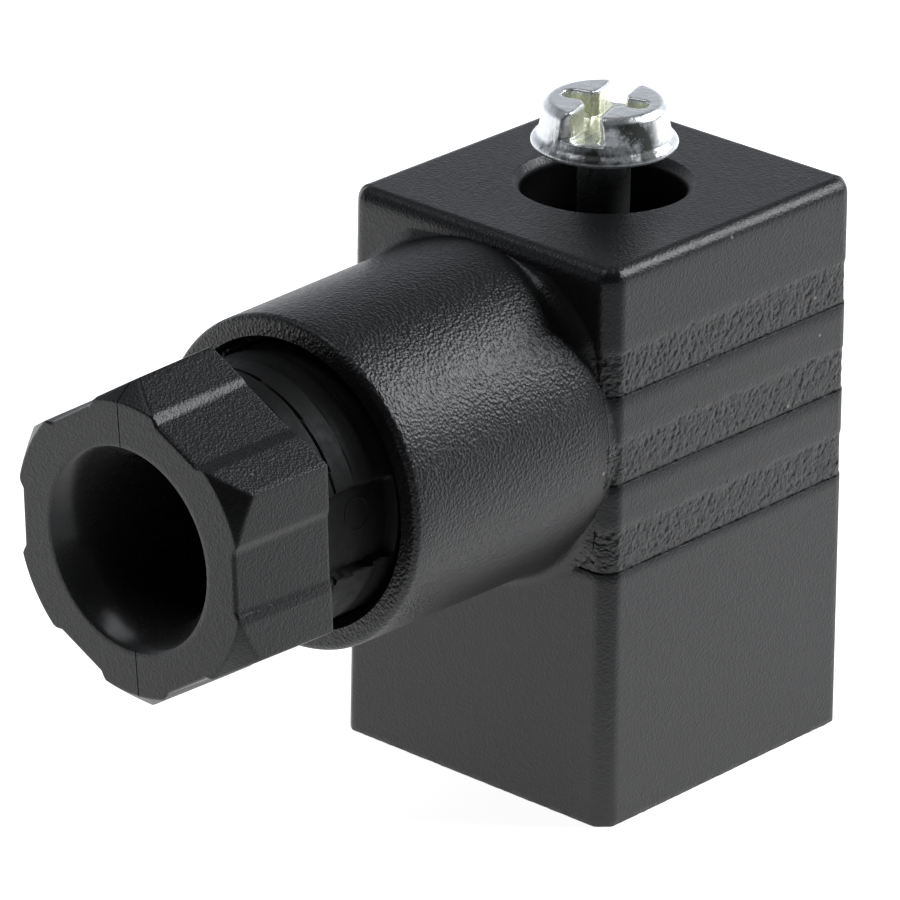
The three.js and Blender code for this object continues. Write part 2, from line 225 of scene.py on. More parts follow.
def turned(name, profile, count=96, closed=False):
    """A body turned about Z from (radius, z) points. Points on the axis close its ends."""
    loops = [ring_points(max(radius, 1e-3), z, count) for radius, z in profile]
    return lofted(name, loops, closed)


def along_barrel(obj):
    """Lays a body turned about Z along the barrel's axis, its z along +Y and its x along +X."""
    turn = Matrix(((1, 0, 0, 0), (0, 0, 1, 0), (0, 1, 0, BARREL_Z * MM), (0, 0, 0, 1)))
    obj.data.transform(turn)
    obj.data.flip_normals()


def barrel_ring(radius, y, count):
    """A circle of points about the barrel's axis."""
    turns = angles(count)
    return [(radius * math.cos(a), y, BARREL_Z + radius * math.sin(a)) for a in turns]


def slab(name, size, place, turn=0.0):
    """A rectangular cutter of a size, about a place, turned about its own Z."""
    half = [s / 2 for s in size]
    c, s = math.cos(turn), math.sin(turn)
    points = []
    for z in (-half[2], half[2]):
        for x, y in ((-1, -1), (1, -1), (1, 1), (-1, 1)):
            px, py = x * half[0], y * half[1]
            points.append((c * px - s * py + place[0], s * px + c * py + place[1], z + place[2]))
    faces = [[3, 2, 1, 0], [4, 5, 6, 7], [0, 1, 5, 4], [1, 2, 6, 5], [2, 3, 7, 6], [3, 0, 4, 7]]
    return made(name, points, faces)


def smooth_step(low, high, value):
    """0 below low, 1 above high, and an S-shaped rise between them."""
    t = min(max((value - low) / (high - low), 0.0), 1.0)
    return t * t * (3 - 2 * t)


def soft_min(values, softness):
    """The least of the values, rounded where two of them are nearly equal."""
    low = min(values)
    total = sum(math.exp((low - v) / softness) for v in values)
    return low - softness * math.log(total)


def wander(x, y, z, size, seed=0.0):
    """Smooth noise from -1 to 1 with features of a size in millimetres."""
    return fields.noise(Vector((x / size + seed, y / size - seed, z / size + 2 * seed)))


# ---------------------------------------------------------------- sizes from the CAD frame

def node_box(name):
    """A CAD node's low and high corner in millimetres."""
    low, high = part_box(name)
    return low / MM, high / MM


HOUSING_LOW, HOUSING_HIGH = node_box("housing")
NUT_LOW, NUT_HIGH = node_box("gland_nut")
RING_LOW, RING_HIGH = node_box("thrust_ring")
SEAL_LOW, SEAL_HIGH = node_box("cable_seal")
CLIP_LOW, CLIP_HIGH = node_box("captive_ring")
ORING_LOW, ORING_HIGH = node_box("screw_seal_ring")

BODY_H = HOUSING_HIGH.z
BODY_BACK = HOUSING_HIGH.y
HALF_BOTTOM = HOUSING_HIGH.x
HALF_TOP = HALF_BOTTOM - 0.2
CORNER_R = 0.7
CORNER_POWER = 1.25
TOP_EDGE = 0.7
BAND_START = 12.3
BAND_PITCH = 4.2
BAND_HEIGHT = 2.1
BAND_COUNT = 3
BAND_DEPTH = 0.055
CAVITY = (6.5, 7.0)
CAVITY_CORNER_R = 0.8
CEILING = 25.3
BOSS_R = 4.65
BOSS_LOW = 21.6
LEDGE_Z = 22.9
RECESS_R = 3.72
RECESS_EDGE = 0.36
SCREW_HOLE_R = 1.8

BARREL_Z = (SEAL_LOW.z + SEAL_HIGH.z) / 2
BARREL_END = HOUSING_LOW.y
BARREL_R_MOUTH = 7.62
BARREL_R_ROOT = 7.78
BARREL_EDGE = 0.32
BARREL_FILLET = 0.8
BORE_CREST = 6.3
BORE_ROOT = 6.55
SHOULDER_Y = -8.8
WIRE_HOLE_R = 4.6
GLAND_PITCH = 1.27

NUT_FACE = NUT_LOW.y
NUT_END = NUT_HIGH.y
NUT_BACK = -24.8
NUT_FLAT_FRONT = 6.475
NUT_FLAT_BACK = 6.6
NUT_CHAMFER_R = 6.65
NUT_CHAMFER_SLOPE = 1.28
NUT_CORNER = math.radians(93)
NUT_MOUTH_R = 4.62
NUT_BORE_R = 3.7
NUT_MOUTH_DEPTH = 3.2
PANEL_HALF = 1.74
PANEL_WALL = 0.36
PANEL_DEPTH = 0.19
PANEL_EDGE = 0.17
PANEL_LIP = 0.05
NUT_EDGE = 0.06
SHANK_CREST = 6.12
SHANK_ROOT = 5.88
SHANK_NECK = 5.65
THREAD_SEAM = 100.0
THREAD_FIRST = -22.0
NUT_SEAM = 95.3
WINDOW_MIDDLE = 2.0
WINDOW_HALF = 16.0
WINDOW_LENGTH = 4.7
WINDOW_FLOOR = 5.62
MARK_Y = -22.1
MARK_TURN = math.radians(8)
MARK_R = 0.73
MARK_TUBE = 0.045


# ---------------------------------------------------------------- materials

class Look:
    """A material being built: its nodes read the object's own coordinates, in metres."""

    def __init__(self, name, colour, roughness, metallic=0.0):
        self.material = bpy.data.materials.new(name)
        self.material.use_nodes = True
        self.tree = self.material.node_tree
        self.shader = self.tree.nodes["Principled BSDF"]
        self.shader.inputs["Base Color"].default_value = (*colour, 1)
        self.shader.inputs["Roughness"].default_value = roughness
        self.shader.inputs["Metallic"].default_value = metallic
        self.place = self.tree.nodes.new("ShaderNodeTexCoord").outputs["Object"]
        self.relief = None

    def node(self, kind, **inputs):
        made_node = self.tree.nodes.new(kind)
        for key, value in inputs.items():
            self.feed(made_node.inputs[key.replace("_", " ")], value)
        return made_node

    def feed(self, socket, value):
        if isinstance(value, bpy.types.NodeSocket):
            self.tree.links.new(value, socket)
        else:
            socket.default_value = value

    def times(self, a, b):
        return self.math("MULTIPLY", a, b)

    def math(self, operation, a, b=0.0):
        step = self.tree.nodes.new("ShaderNodeMath")
        step.operation = operation
        self.feed(step.inputs[0], a)
        self.feed(step.inputs[1], b)
        return step.outputs[0]

    def noise(self, size, detail=2.0, roughness=0.55, stretch=None):
        """Noise from 0 to 1 whose features have a size in millimetres."""
        where = self.place
        if stretch:
            scaled = self.tree.nodes.new("ShaderNodeVectorMath")
            scaled.operation = "MULTIPLY"
            self.feed(scaled.inputs[0], self.place)
            self.feed(scaled.inputs[1], stretch)
            where = scaled.outputs[0]
        return self.node(
            "ShaderNodeTexNoise",
            Vector=where,
            Scale=1 / (size * MM),
            Detail=detail,
            Roughness=roughness,
        ).outputs[0]

    def pebbles(self, size, smooth=True):
        """Distance to the nearest of the scattered points, a size in millimetres apart."""
        cells = self.node("ShaderNodeTexVoronoi", Vector=self.place, Scale=1 / (size * MM))
        cells.feature = "SMOOTH_F1" if smooth else "F1"
        return cells.outputs["Distance"]

    def axis(self, index):
        """One coordinate of the object's own space: 0, 1 or 2."""
        parts = self.node("ShaderNodeSeparateXYZ", Vector=self.place)
        return parts.outputs[index]

    def span(self, value, low, high, start=0.0, end=1.0):
        """Maps value from low..high to start..end, held at both ends."""
        step = self.tree.nodes.new("ShaderNodeMapRange")
        self.feed(step.inputs["Value"], value)
        step.inputs["From Min"].default_value = low
        step.inputs["From Max"].default_value = high
        step.inputs["To Min"].default_value = start
        step.inputs["To Max"].default_value = end
        return step.outputs[0]

    def colour(self, low, high, factor):
        step = self.tree.nodes.new("ShaderNodeMix")
        step.data_type = "RGBA"
        self.feed(step.inputs["Factor"], factor)
        for socket, value in ((step.inputs[6], low), (step.inputs[7], high)):
            self.feed(socket, value if isinstance(value, bpy.types.NodeSocket) else (*value, 1))
        return step.outputs[2]

    def raise_by(self, height, millimetres, strength=1.0):
        """Adds relief: height 1 stands that many millimetres above height 0."""
        step = self.node("ShaderNodeBump", Height=height, Distance=millimetres * MM)
        self.feed(step.inputs["Strength"], strength)
        if self.relief:
            self.feed(step.inputs["Normal"], self.relief)
        self.relief = step.outputs[0]

    def done(self, colour=None, roughness=None):
        if colour is not None:
            self.feed(self.shader.inputs["Base Color"], colour)
        if roughness is not None:
            self.feed(self.shader.inputs["Roughness"], roughness)
        if self.relief:
            self.feed(self.shader.inputs["Normal"], self.relief)
        return self.material


def specks(look, size, share):
    """A mask of sparse small specks, such as dust."""
    cells = look.node("ShaderNodeTexVoronoi", Vector=look.place, Scale=1 / (size * MM))
    near = look.span(cells.outputs["Distance"], 0.05, 0.09, 1.0, 0.0)
    red = look.node("ShaderNodeSeparateColor", Color=cells.outputs["Color"]).outputs[0]
    chosen = look.span(red, 1 - share, 1 - share + 0.001)
    return look.times(near, chosen)


def housing_look():
    """Black glass-filled nylon: spark-eroded grain, with coarse pits on the grip bands."""
    look = Look("housing_plastic", (0.007, 0.007, 0.0075), 0.3)
    z = look.axis(2)
    y = look.axis(1)
    ragged = look.noise(0.45, 3.0, 0.7)
    steps = look.math("DIVIDE", look.math("SUBTRACT", z, BAND_START * MM), BAND_PITCH * MM)
    part = look.math("FRACT", steps)
    share = BAND_HEIGHT / BAND_PITCH
    torn = look.math("ADD", part, look.span(ragged, 0.3, 0.7, -0.07, 0.07))
    below_top = look.span(torn, share - 0.05, share + 0.04, 1.0, 0.0)
    first = look.span(steps, 0.0, 0.001)
    last = look.span(steps, BAND_COUNT - 0.01, BAND_COUNT, 1.0, 0.0)
    on_body = look.span(y, -8.42 * MM, -8.38 * MM)
    band = look.times(below_top, look.times(first, last))
    band = look.times(band, on_body)
    on_barrel = look.span(y, -9.4 * MM, -8.6 * MM, 1.0, 0.0)
    square = look.math("ADD", look.times(y, y), look.math("POWER", look.axis(0), 2.0))
    outside = look.span(square, (3.7 * MM) ** 2, (3.85 * MM) ** 2)
    look.raise_by(look.pebbles(0.13, False), 0.014, outside)
    look.raise_by(look.pebbles(0.16, False), 0.026, on_barrel)
    pits = look.span(look.pebbles(0.34), 0.05, 0.45)
    look.raise_by(pits, 0.055, band)
    look.raise_by(look.pebbles(0.2, False), 0.03, band)
    on_corner = look.times(look.span(square, (10.4 * MM) ** 2, (11.2 * MM) ** 2), band)
    look.raise_by(look.noise(0.3, 1.0, 0.6, (1.0, 1.0, 1.6)), 0.12, on_corner)
    tone = look.colour((0.0055, 0.0055, 0.006), (0.009, 0.009, 0.0098), look.noise(2.5, 4.0))
    dusty = look.colour(tone, (0.2, 0.19, 0.17), specks(look, 1.3, 0.035))
    rough = look.span(look.noise(0.3, 3.0), 0.3, 0.7, 0.33, 0.42)
    return look.done(dusty, rough)


def nut_look():
    """Black nylon with a satin spark-eroded grain."""
    look = Look("nut_plastic", (0.007, 0.007, 0.007), 0.3)
    look.raise_by(look.pebbles(0.12, False), 0.014)
    look.raise_by(look.noise(0.3, 2.0), 0.008)
    tone = look.colour((0.0055, 0.0055, 0.0055), (0.0085, 0.0085, 0.0085), look.noise(1.8, 4.0))
    dusty = look.colour(tone, (0.2, 0.19, 0.15), specks(look, 1.1, 0.04))
    rough = look.span(look.noise(0.3, 3.0), 0.3, 0.7, 0.36, 0.43)
    return look.done(dusty, rough)


def shaded_thread_look():
    """The nut's threaded shank: smoother nylon with drag marks round it, given weak shine so that it
    reads darker, as painted shade between the nut and the barrel.
    """
    look = Look("nut_thread_painted_shade", (0.006, 0.006, 0.006), 0.6)
    # Weak shine darkens the shank: painted shade between the nut and the barrel.
    look.shader.inputs["Specular IOR Level"].default_value = 0.16
    look.raise_by(look.noise(0.12, 2.0, 0.6, (0.2, 1.0, 0.2)), 0.014)
    tone = look.colour((0.0045, 0.0045, 0.0045), (0.009, 0.009, 0.009), look.noise(0.8, 4.0))
    rough = look.span(look.noise(0.5, 3.0), 0.3, 0.7, 0.5, 0.64)
    return look.done(tone, rough)


def lit_gloss_look():
    """The polished core that moulded the nut's mouth leaves it glossy; its base is lighter than the
    nut's nylon, painted light in the mouth.
    """
    look = Look("nut_gloss_painted_light", (0.009, 0.009, 0.009), 0.26)
    look.raise_by(look.noise(1.6, 2.0), 0.01)
    # A base lighter than the nut's nylon: painted light in the bell mouth.
    tone = look.colour((0.019, 0.019, 0.019), (0.027, 0.027, 0.027), look.noise(2.0, 3.0))
    rough = look.span(look.noise(0.8, 3.0), 0.3, 0.7, 0.22, 0.3)
    return look.done(tone, rough)


def carrier_look():
    """Black glass-filled nylon with short fibres showing in its skin."""
    look = Look("carrier_plastic", (0.014, 0.014, 0.015), 0.5)
    look.raise_by(look.noise(0.1, 2.0), 0.01)
    fibres = look.noise(0.12, 2.0, 0.5, (1.0, 0.25, 1.0))
    tone = look.colour((0.011, 0.011, 0.012), (0.02, 0.02, 0.021), fibres)
    rough = look.span(look.noise(0.4, 3.0), 0.3, 0.7, 0.42, 0.55)
    return look.done(tone, rough)


def nylon_look():
    """Natural nylon, milky and satin."""
    look = Look("nylon", (0.62, 0.6, 0.54), 0.42)
    look.shader.inputs["Subsurface Weight"].default_value = 0.2
    look.shader.inputs["Subsurface Scale"].default_value = 0.4 * MM
    look.raise_by(look.noise(0.15, 2.0), 0.006)
    tone = look.colour((0.56, 0.54, 0.48), (0.66, 0.64, 0.58), look.noise(1.2, 3.0))
    rough = look.span(look.noise(0.5, 3.0), 0.3, 0.7, 0.36, 0.48)
    return look.done(tone, rough)


def rubber_look():
    """Black nitrile rubber, matte, with a trace of talc."""
    look = Look("rubber", (0.016, 0.016, 0.016), 0.75)
    look.raise_by(look.noise(0.13, 3.0, 0.7), 0.012)
    talc = look.span(look.noise(0.7, 4.0, 0.7), 0.52, 0.75)
    tone = look.colour((0.013, 0.013, 0.013), (0.035, 0.035, 0.034), talc)
    rough = look.span(look.noise(0.5, 3.0), 0.3, 0.7, 0.65, 0.85)
    return look.done(tone, rough)


def zinc_look():
    """Bright zinc plating: yellow-green in the drive, dark patches on the head's front, painted dark
    reflection streaks on its left, and painted shade on the shank.
    """
    look = Look("zinc_plated_steel", (0.6, 0.62, 0.63), 0.28, 0.76)
    x, y, z = look.axis(0), look.axis(1), look.axis(2)
    square = look.math("ADD", look.times(x, x), look.times(y, y))
    reach = look.math("SQRT", square)
    above_floor = look.span(z, 29.0 * MM, 29.1 * MM)
    below_top = look.span(z, 30.3 * MM, 30.42 * MM, 1.0, 0.0)
    near_axis = look.span(reach, 2.3 * MM, 2.75 * MM, 1.0, 0.0)
    in_drive = look.times(near_axis, look.times(above_floor, below_top))
    cloudy = look.span(look.noise(0.6, 3.0, 0.6), 0.3, 0.55, 0.35, 1.0)
    green = look.times(in_drive, cloudy)
    # A blotchy dark patch on the front-right side of the head.
    front = look.math("SUBTRACT", look.times(x, 0.839), look.times(y, 0.545))
    side = look.span(front, 2.2 * MM, 2.6 * MM)
    on_head = look.span(z, 28.5 * MM, 28.7 * MM)
    high = look.times(on_head, below_top)
    fine = look.span(look.noise(0.22, 3.0, 0.7), 0.3, 0.7, -0.07, 0.07)
    patch = look.math("ADD", look.noise(1.5, 2.0, 0.5), fine)
    front_dark_patch = look.times(look.times(side, high), look.span(patch, 0.38, 0.54))
    # Dark streaks on the head's left side: painted dark reflection lines.
    left = look.math("SUBTRACT", look.times(x, 0.208), look.times(y, 0.978))
    reflection_streak_noise = look.span(look.noise(0.3, 3.0, 0.65, (1.0, 1.0, 0.3)), 0.42, 0.6)
    at_left = look.span(left, 2.5 * MM, 2.75 * MM)
    painted_reflection_streaks = look.times(at_left, look.times(reflection_streak_noise, high))
    # The dark patches together with the painted reflection streaks, darkening the head.
    dark_patch_and_painted_reflection = look.math("MAXIMUM", front_dark_patch, look.times(painted_reflection_streaks, 0.75))
    plain = look.colour((0.82, 0.845, 0.86), (0.92, 0.94, 0.95), look.noise(0.8, 3.0))
    tinted = look.colour(plain, (0.78, 0.79, 0.63), green)
    darkened = look.colour(tinted, (0.08, 0.085, 0.08), dark_patch_and_painted_reflection)
    below_head = look.span(z, 28.2 * MM, 28.5 * MM, 1.0, 0.0)
    shank_painted_shade = look.times(below_head, look.span(reach, 2.0 * MM, 2.4 * MM, 1.0, 0.0))
    off_shank = look.math("SUBTRACT", 1.0, shank_painted_shade)
    # A darker shank below the head: painted shade from the hole round it.
    tone = look.colour(darkened, (0.16, 0.165, 0.165), shank_painted_shade)
    look.raise_by(look.noise(0.45, 3.0, 0.6), 0.03, off_shank)
    look.raise_by(look.noise(0.1, 2.0, 0.6), 0.006, off_shank)
    uneven = look.span(look.noise(0.4, 3.0), 0.3, 0.7, 0.23, 0.35)
    rough = look.math("ADD", uneven, look.times(dark_patch_and_painted_reflection, 0.2))
    return look.done(tone, rough)


def tin_look():
    """Satin tin plating over brass, with faint rolling marks."""
    look = Look("tinned_brass", (0.66, 0.66, 0.64), 0.32, 1.0)
    look.raise_by(look.noise(0.1, 2.0, 0.5, (1.0, 1.0, 0.15)), 0.004)
    tone = look.colour((0.6, 0.6, 0.58), (0.72, 0.72, 0.69), look.noise(0.9, 4.0))
    rough = look.span(look.noise(0.5, 3.0), 0.3, 0.7, 0.26, 0.4)
    return look.done(tone, rough)


LOOKS = {
    "housing_plastic": housing_look(),
    "nut_plastic": nut_look(),
    "carrier_plastic": carrier_look(),
    "nylon": nylon_look(),
    "rubber": rubber_look(),
    "zinc_plated_steel": zinc_look(),
    "tinned_brass": tin_look(),
}
LIT_GLOSS = lit_gloss_look()
SHADED_THREAD = shaded_thread_look()


def placed(obj, body, slot, *nodes):
    """Gives a finished piece its material and its body, and hides the CAD nodes that it stands for."""
    obj.data.materials.clear()
    obj.data.materials.append(LOOKS[slot])
    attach(obj, body)
    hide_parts(*nodes)


# ---------------------------------------------------------------- housing

def rounded_outline(half_x, half_y, radius, side_steps, corner_steps):
    """Points of a rounded rectangle with their outward directions, starting on the +X side."""
    out = []
    centres = (
        (half_x - radius, half_y - radius),
        (-half_x + radius, half_y - radius),
        (-half_x + radius, -half_y + radius),
        (half_x - radius, -half_y + radius),
    )
    for i, (cx, cy) in enumerate(centres):
        for k in range(corner_steps + 1):
            angle = math.pi / 2 * (i + k / corner_steps)
            c, s = math.cos(angle), math.sin(angle)
            flat = (abs(c) ** CORNER_POWER + abs(s) ** CORNER_POWER) ** (-1 / CORNER_POWER)
            out.append((cx + radius * c * flat, cy + radius * s * flat, c, s))
        nx, ny = centres[(i + 1) % 4]
        angle = math.pi / 2 * (i + 1)
        c, s = math.cos(angle), math.sin(angle)
        for k in range(1, side_steps):
            t = k / side_steps
            out.append((cx + (nx - cx) * t + radius * c, cy + (ny - cy) * t + radius * s, c, s))
    return out


def body_rows():
    """Rows of the housing's side walls: (height, depth below the wall, share of ragged shift)."""
    rows = [(0.0, 0.05, 0.0), (0.06, 0.0, 0.0)]
    rows += [(z, 0.0, 0.0) for z in (0.3, 1.5, 4.0, 7.0, 10.0, 11.8)]
    for i in range(BAND_COUNT):
        low = BAND_START + BAND_PITCH * i
        high = low + BAND_HEIGHT
        rows += [(low - 0.03, 0.0, 0.0), (low, 0.02, 0.0), (low + 0.01, BAND_DEPTH + 0.03, 0.0)]
        rows += [(low + 0.05, BAND_DEPTH + 0.03, 0.0), (low + 0.14, BAND_DEPTH, 0.0)]
        steps = 6
        for k in range(1, steps):
            rows.append((low + 0.14 + (BAND_HEIGHT - 0.37) * k / steps, BAND_DEPTH, 0.0))
        rows += [(high - 0.2, BAND_DEPTH, 0.6), (high - 0.08, BAND_DEPTH * 0.8, 1.0)]
        rows += [(high + 0.02, BAND_DEPTH * 0.25, 1.0), (high + 0.1, 0.0, 1.0)]
        rows += [(high + 0.5, 0.0, 0.0), (high + 1.4, 0.0, 0.0)]
    rows += [(BODY_H - 1.4, 0.0, 0.0), (BODY_H - TOP_EDGE - 0.3, 0.0, 0.0)]
    return rows


def body_block():
    """The outer block: flared sides, rounded edges and three bands sunk round it."""
    loops = []
    for height, depth, torn in body_rows():
        share = height / BODY_H
        half = HALF_BOTTOM + (HALF_TOP - HALF_BOTTOM) * share
        loop = []
        in_band = BAND_DEPTH * 0.7 < depth <= BAND_DEPTH
        for x, y, c, s in rounded_outline(half, BODY_BACK, CORNER_R, 58, 7):
            inset = depth
            if in_band:
                inset += 0.04 * wander(x, y, height, 0.33, 3.0)
            z = height + torn * 0.16 * wander(x, y, height // BAND_PITCH * 9, 0.55, 7.0)
            loop.append((x - c * inset, y - s * inset, z))
        loops.append(loop)
    arc = 6
    for k in range(arc + 1):
        angle = math.pi / 2 * k / arc
        inset = TOP_EDGE * (1 - math.cos(angle))
        z = BODY_H - TOP_EDGE + TOP_EDGE * math.sin(angle)
        outline = rounded_outline(HALF_TOP, BODY_BACK, CORNER_R, 58, 7)
        loops.append([(x - c * inset, y - s * inset, z) for x, y, c, s in outline])
    return lofted("housing_shell", loops)


def barrel_room(c, s):
    """How far the body's flat front reaches outside the barrel, in one direction from its axis."""
    side = (HALF_TOP - CORNER_R) / abs(c) if abs(c) > 1e-6 else 99.0
    top = (BODY_H - TOP_EDGE - BARREL_Z) / s if s > 1e-6 else 99.0
    return min(side, top) - BARREL_R_ROOT


def barrel_block():
    """The solid cable barrel, with a fillet at its root that fades where it meets the sides."""
    count = 288
    wall = -BODY_BACK
    loops = []
    profile = [(BARREL_R_MOUTH - BARREL_EDGE, BARREL_END)]
    for k in range(1, 7):
        angle = math.pi / 2 * k / 6
        profile.append((
            BARREL_R_MOUTH - BARREL_EDGE * (1 - math.sin(angle)),
            BARREL_END + BARREL_EDGE * (1 - math.cos(angle)),
        ))
    steps = 12
    for k in range(1, steps + 1):
        share = k / steps
        y = BARREL_END + BARREL_EDGE + (wall - BARREL_FILLET - BARREL_END - BARREL_EDGE) * share
        profile.append((BARREL_R_MOUTH + (BARREL_R_ROOT - BARREL_R_MOUTH) * share, y))
    for radius, y in profile:
        loops.append(barrel_ring(radius, y, count))
    root = 6
    for k in range(root + 1):
        loop = []
        for a in angles(count):
            c, s = math.cos(a), math.sin(a)
            fillet = min(max(0.8 * barrel_room(c, s), 0.01), BARREL_FILLET)
            turn = math.pi / 2 * k / root
            y = wall + 0.02 - fillet * (1 - math.sin(turn))
            radius = BARREL_R_ROOT + fillet * (1 - math.cos(turn))
            loop.append((radius * c, y, BARREL_Z + radius * s))
        loops.append(loop)
    loops.append(barrel_ring(BARREL_R_ROOT, wall + CORNER_R + 0.3, count))
    return lofted("barrel", loops)


def thread_wave(turns, crest, flank):
    """Thread profile from 0 in the root to 1 on the crest, over one turn."""
    part = abs((turns % 1.0) - 0.5) * 2
    return 1 - smooth_step(crest, crest + flank, part)


def bore_cutter():
    """What the barrel's bore takes away: thread, seal seat and the hole for the wires."""
    count = 192
    loops = []
    mouth = BORE_ROOT + 0.12
    for radius, y in ((mouth, BARREL_END - 1.0), (mouth, BARREL_END), (BORE_ROOT, BARREL_END + 0.2)):
        loops.append(barrel_ring(radius, y, count))
    rows = 72
    start = BARREL_END + 0.3
    end = SEAL_LOW.y - 0.3
    for k in range(rows + 1):
        y = start + (end - start) * k / rows
        fade = smooth_step(start, start + 0.5, y) * (1 - smooth_step(end - 0.5, end, y))
        loop = []
        for a in angles(count):
            wave = thread_wave(y / GLAND_PITCH - a / (2 * math.pi), 0.35, 0.35)
            radius = BORE_ROOT - (BORE_ROOT - BORE_CREST) * wave * fade
            loop.append((radius * math.cos(a), y, BARREL_Z + radius * math.sin(a)))
        loops.append(loop)
    tail = [(BORE_ROOT - 0.1, end + 0.1), (BORE_ROOT - 0.1, SHOULDER_Y - 0.1)]
    tail += [(BORE_ROOT - 0.2, SHOULDER_Y), (WIRE_HOLE_R + 0.1, SHOULDER_Y)]
    tail += [(WIRE_HOLE_R, SHOULDER_Y + 0.1), (WIRE_HOLE_R, -CAVITY[1] + 0.6)]
    for radius, y in tail:
        loops.append(barrel_ring(radius, y, count))
    return lofted("bore", loops)


def cavity_cutter():
    """The room for the contact carrier, open at the rim and rounded at its ceiling."""
    loops = []
    edge = 0.5
    rows = [(-1.0, 0.0), (CEILING - edge, 0.0)]
    for turn in (0.4, 0.8, 1.2, math.pi / 2):
        rows.append((CEILING - edge + edge * math.sin(turn), edge * (1 - math.cos(turn))))
    for z, inset in rows:
        outline = rounded_outline(CAVITY[0], CAVITY[1], CAVITY_CORNER_R, 2, 6)
        loops.append([(x - c * inset, y - s * inset, z) for x, y, c, s in outline])
    return lofted("cavity", loops)


def recess_cutter():
    """The screw's recess: a rounded rim, a round pocket, a ledge and the screw's hole."""
    profile = [(0, BOSS_LOW - 1), (SCREW_HOLE_R + 0.2, BOSS_LOW - 1)]
    profile += [(SCREW_HOLE_R + 0.2, BOSS_LOW - 0.02), (SCREW_HOLE_R, BOSS_LOW + 0.2)]
    profile += [(SCREW_HOLE_R, LEDGE_Z - 0.15), (SCREW_HOLE_R + 0.15, LEDGE_Z)]
    profile += [(RECESS_R - 0.2, LEDGE_Z), (RECESS_R - 0.05, LEDGE_Z + 0.05), (RECESS_R, LEDGE_Z + 0.2)]
    rim = [(RECESS_R, LEDGE_Z + 1, 0), (RECESS_R, BODY_H - RECESS_EDGE, 0.5)]
    rim += [(RECESS_R + RECESS_EDGE, BODY_H, 0.12), (RECESS_R + RECESS_EDGE + 0.3, BODY_H + 0.02, 0)]
    profile += rounded(rim, False, 6)[1:]
    profile += [(RECESS_R + RECESS_EDGE + 0.3, BODY_H + 1), (0, BODY_H + 1)]
    return turned("recess", profile, 128)


def housing():
    """The block with its barrel, hollowed for the carrier, the gland and the screw."""
    shell = body_block()
    added(shell, barrel_block())
    cut(shell, cavity_cutter())
    top = CEILING + 0.3
    boss = [(0, BOSS_LOW, 0), (BOSS_R, BOSS_LOW, 0.3), (BOSS_R, top, 0), (0, top, 0)]
    added(shell, turned("boss", rounded(boss, False), 96))
    cut(shell, bore_cutter(), recess_cutter())
    shaded(shell, 40)
    placed(shell, "housing", "housing_plastic", "housing")


# ---------------------------------------------------------------- gland nut

def nut_head_radius(angle, y):
    """Distance of the nut's outside from its axis, for an angle from +X towards +Z."""
    back = (y - NUT_FACE) / (NUT_BACK - NUT_FACE)
    flat = NUT_FLAT_FRONT + (NUT_FLAT_BACK - NUT_FLAT_FRONT) * back
    wall = PANEL_WALL * (1 - 0.35 * back)
    depth = PANEL_DEPTH * (1 - 0.5 * back)
    reach = []
    on_panel = 0.0
    for k in range(6):
        turn = angle - NUT_CORNER - math.radians(30 + 60 * k)
        turn = (turn + math.pi) % (2 * math.pi) - math.pi
        if abs(turn) > math.radians(62):
            continue
        along = abs(flat * math.tan(turn))
        share = min(max((PANEL_HALF - along) / wall, 0.0), 1.0)
        on_panel = max(on_panel, share)
        sunk = depth * share
        if turn < 0:
            sunk += PANEL_LIP * math.exp(-(((along - PANEL_HALF) / 0.06) ** 2))
        reach.append((flat - sunk) / math.cos(turn))
    reach.append(NUT_CHAMFER_R + (y - NUT_FACE) / NUT_CHAMFER_SLOPE)
    radius = soft_min(reach, 0.022)
    front = NUT_EDGE + (PANEL_EDGE - NUT_EDGE) * on_panel
    near_front = max(front - (y - NUT_FACE), 0.0)
    near_back = max(NUT_EDGE - (NUT_BACK - y), 0.0)
    radius -= front - math.sqrt(max(front * front - near_front * near_front, 0.0))
    radius -= NUT_EDGE - math.sqrt(max(NUT_EDGE * NUT_EDGE - near_back * near_back, 0.0))
    return radius


def in_window(angle, half):
    """1 inside the two smooth windows that interrupt the gland thread, 0 outside."""
    best = 0.0
    for centre in (WINDOW_MIDDLE, WINDOW_MIDDLE + 180):
        turn = angle - math.radians(centre)
        turn = abs((turn + math.pi) % (2 * math.pi) - math.pi)
        best = max(best, 1 - smooth_step(math.radians(half), math.radians(half + 1.5), turn))
    return best


def nut_shank_radius(angle, y):
    """The shank: a plain neck, then flats of thread with one thin step a turn, and two windows."""
    from_seam = (math.degrees(angle) - THREAD_SEAM) % 360
    first = THREAD_FIRST - GLAND_PITCH * ((360 - from_seam) % 360) / 360
    turns = (y - first) / GLAND_PITCH
    part = turns % 1.0
    rise = smooth_step(0.0, 0.06, part) * 0.25 + 0.75 * smooth_step(0.1, 0.8, part)
    drop = 1 - smooth_step(0.9, 1.0, part)
    wave = min(rise + (1 if turns < 0 else 0), 1.0) * drop
    end = 1 - smooth_step(NUT_END - 0.5, NUT_END, y)
    ridge = SHANK_ROOT + (SHANK_CREST - SHANK_ROOT) * wave * end
    slit = smooth_step(NUT_BACK + 0.3, NUT_BACK + 0.36, y)
    ridge = SHANK_NECK + (ridge - SHANK_NECK) * slit
    relief = 0.5 * (1 - smooth_step(NUT_BACK - 0.6, NUT_BACK + 1.9, y))
    bulge = 2.0 * math.sin(math.pi * min(max((y - NUT_BACK) / WINDOW_LENGTH, 0.0), 1.0))
    window = in_window(angle, WINDOW_HALF + bulge)
    window *= 1 - smooth_step(NUT_BACK + WINDOW_LENGTH - 0.2, NUT_BACK + WINDOW_LENGTH, y)
    return ridge * (1 - window) + (WINDOW_FLOOR + relief) * window


